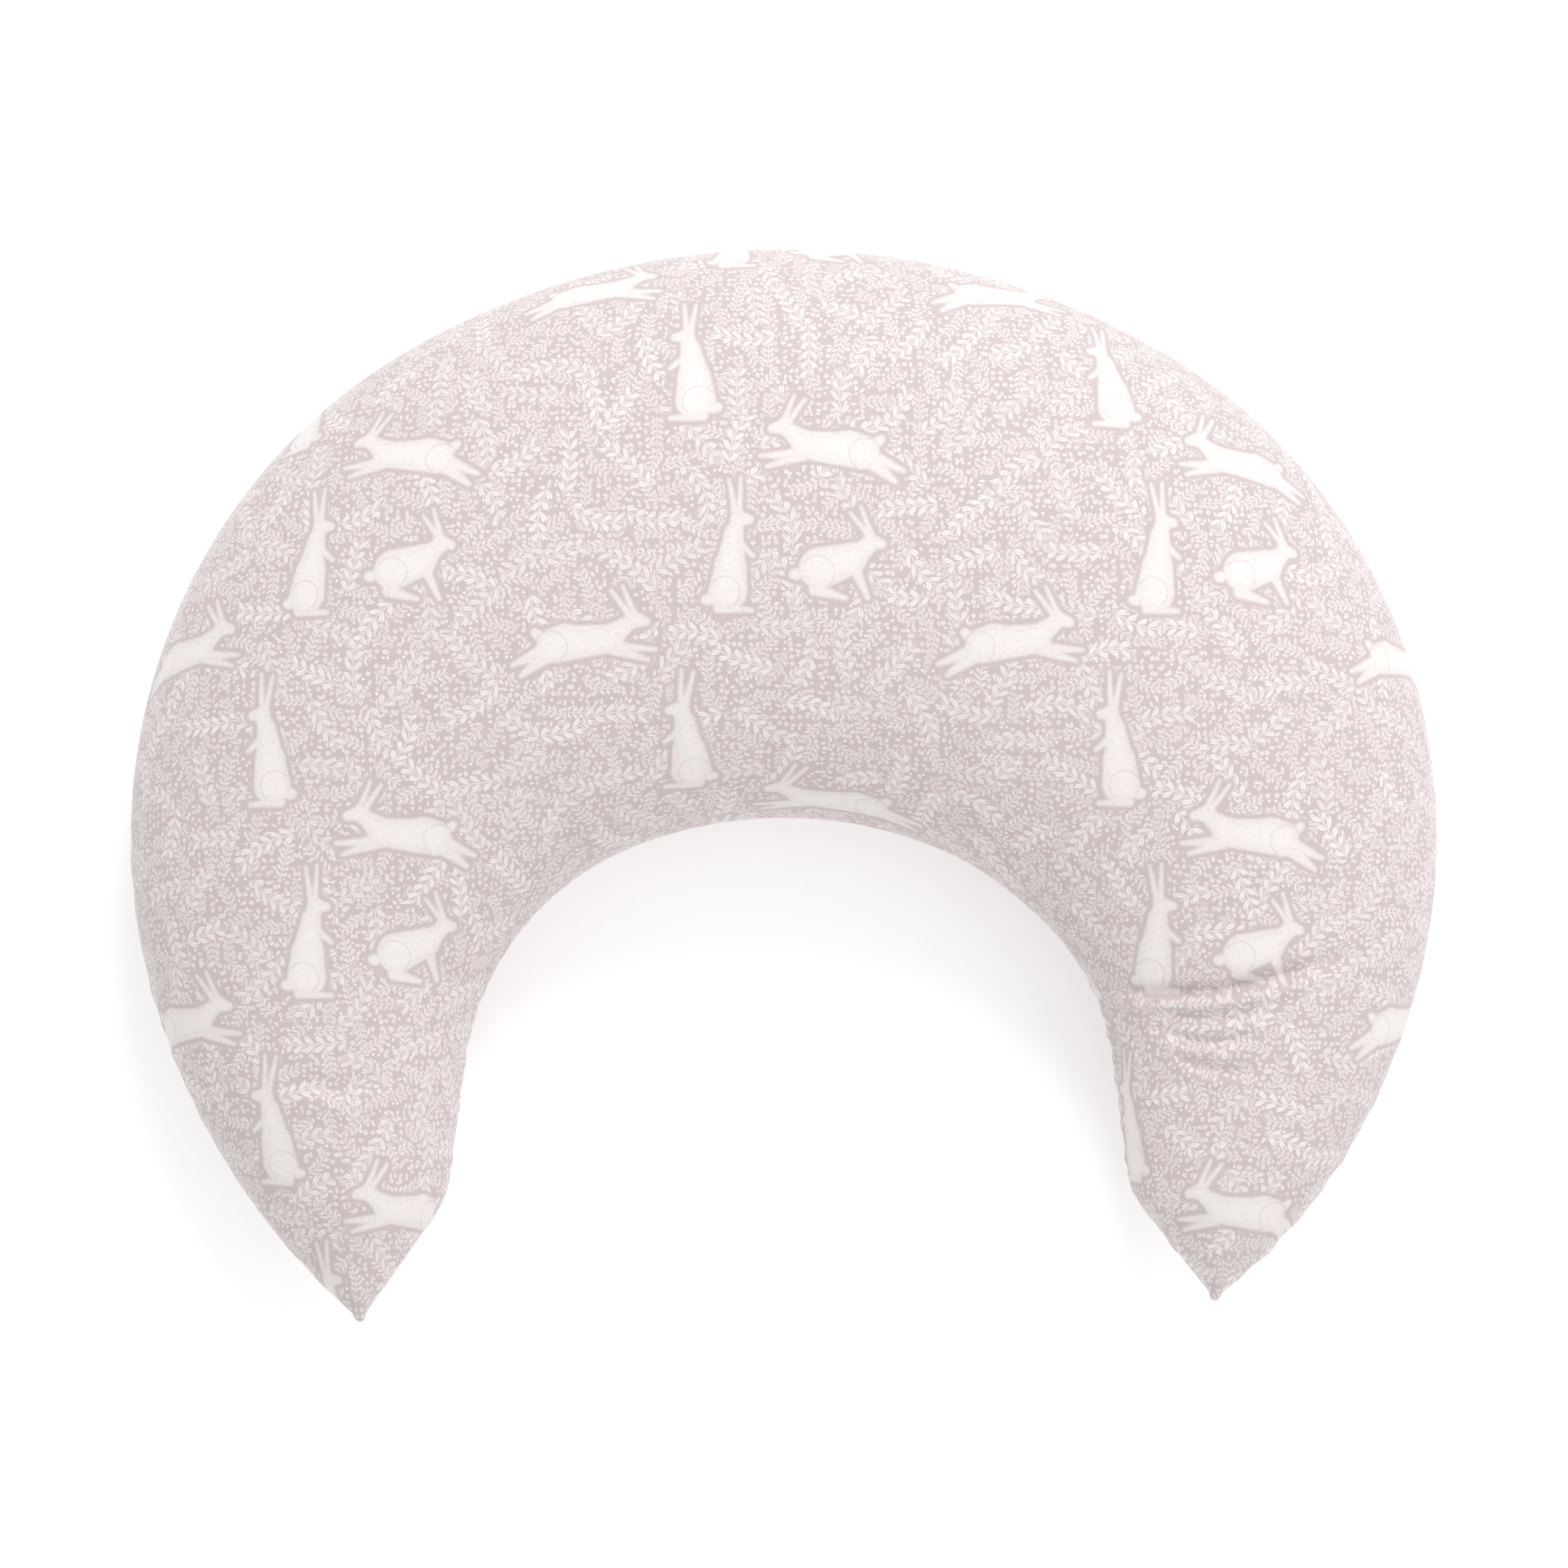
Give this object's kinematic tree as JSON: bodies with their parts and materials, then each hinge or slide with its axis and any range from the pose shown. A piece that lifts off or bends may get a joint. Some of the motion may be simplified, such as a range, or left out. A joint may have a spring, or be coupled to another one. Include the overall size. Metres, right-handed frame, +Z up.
{
  "type": "nursing pillow",
  "caption": "Crescent nursing pillow: a plump stuffed ring open at the waist, in a zipped cotton cover over a sewn inner cushion of fibre.",
  "frame": {"origin": "middle of the footprint on the plane the pillow lies on", "axes": "+Z up out of the seam plane, +Y towards the crown, horns towards -Y, X = 0 is the mirror plane of the cushion"},
  "size_m": [0.6204, 0.5052, 0.161],
  "materials": {
    "cover_cotton": "printed cotton twill, matt",
    "sewing_thread": "spun polyester thread",
    "zip_tape": "woven tape",
    "zip_coil": "nylon coil",
    "zip_metal": "enamelled die casting",
    "label_ribbon": "satin ribbon, blank",
    "liner_cloth": "white nonwoven cloth",
    "filling": "white hollow fibre"
  },
  "bodies": {
    "pillow": {"cover_top_panel": "cover_cotton", "cover_bottom_panel": "cover_cotton", "cover_needle_thread": "sewing_thread", "cover_bobbin_thread": "sewing_thread", "zip_tape_upper": "zip_tape", "zip_tape_lower": "zip_tape", "zip_teeth_upper": "zip_coil", "zip_teeth_lower": "zip_coil", "zip_top_stops": "zip_metal", "zip_bottom_stop": "zip_metal", "zip_topstitch_upper": "sewing_thread", "zip_topstitch_lower": "sewing_thread", "liner_top_panel": "liner_cloth", "liner_bottom_panel": "liner_cloth", "liner_needle_thread": "sewing_thread", "liner_bobbin_thread": "sewing_thread", "liner_closing_stitches": "sewing_thread", "fibre_fill": "filling"},
    "slider": {"zip_slider": "zip_metal"},
    "pull": {"zip_pull": "zip_metal"},
    "label": {"care_label": "label_ribbon"}
  },
  "joints": [
    {"name": "zip_travel", "type": "hinge", "parent": "pillow", "child": "slider", "pos_m": [0, -0.1025, 0.056], "axis": [0, 0, 1], "range_deg": [0, 51.4], "deforming": ["zip_teeth_upper", "zip_teeth_lower"]},
    {"name": "pull_swing", "type": "hinge", "parent": "slider", "child": "pull", "pos_m": [0.15583, 0.21418, 0.05478], "axis": [-0.1793, -0.3644, -0.9138], "range_deg": [0, 150]},
    {"name": "label_flap", "type": "hinge", "parent": "pillow", "child": "label", "pos_m": [-0.18421, 0.19811, 0.05429], "axis": [0.8526, 0.5225, 0], "range_deg": [0, 90]}
  ]
}
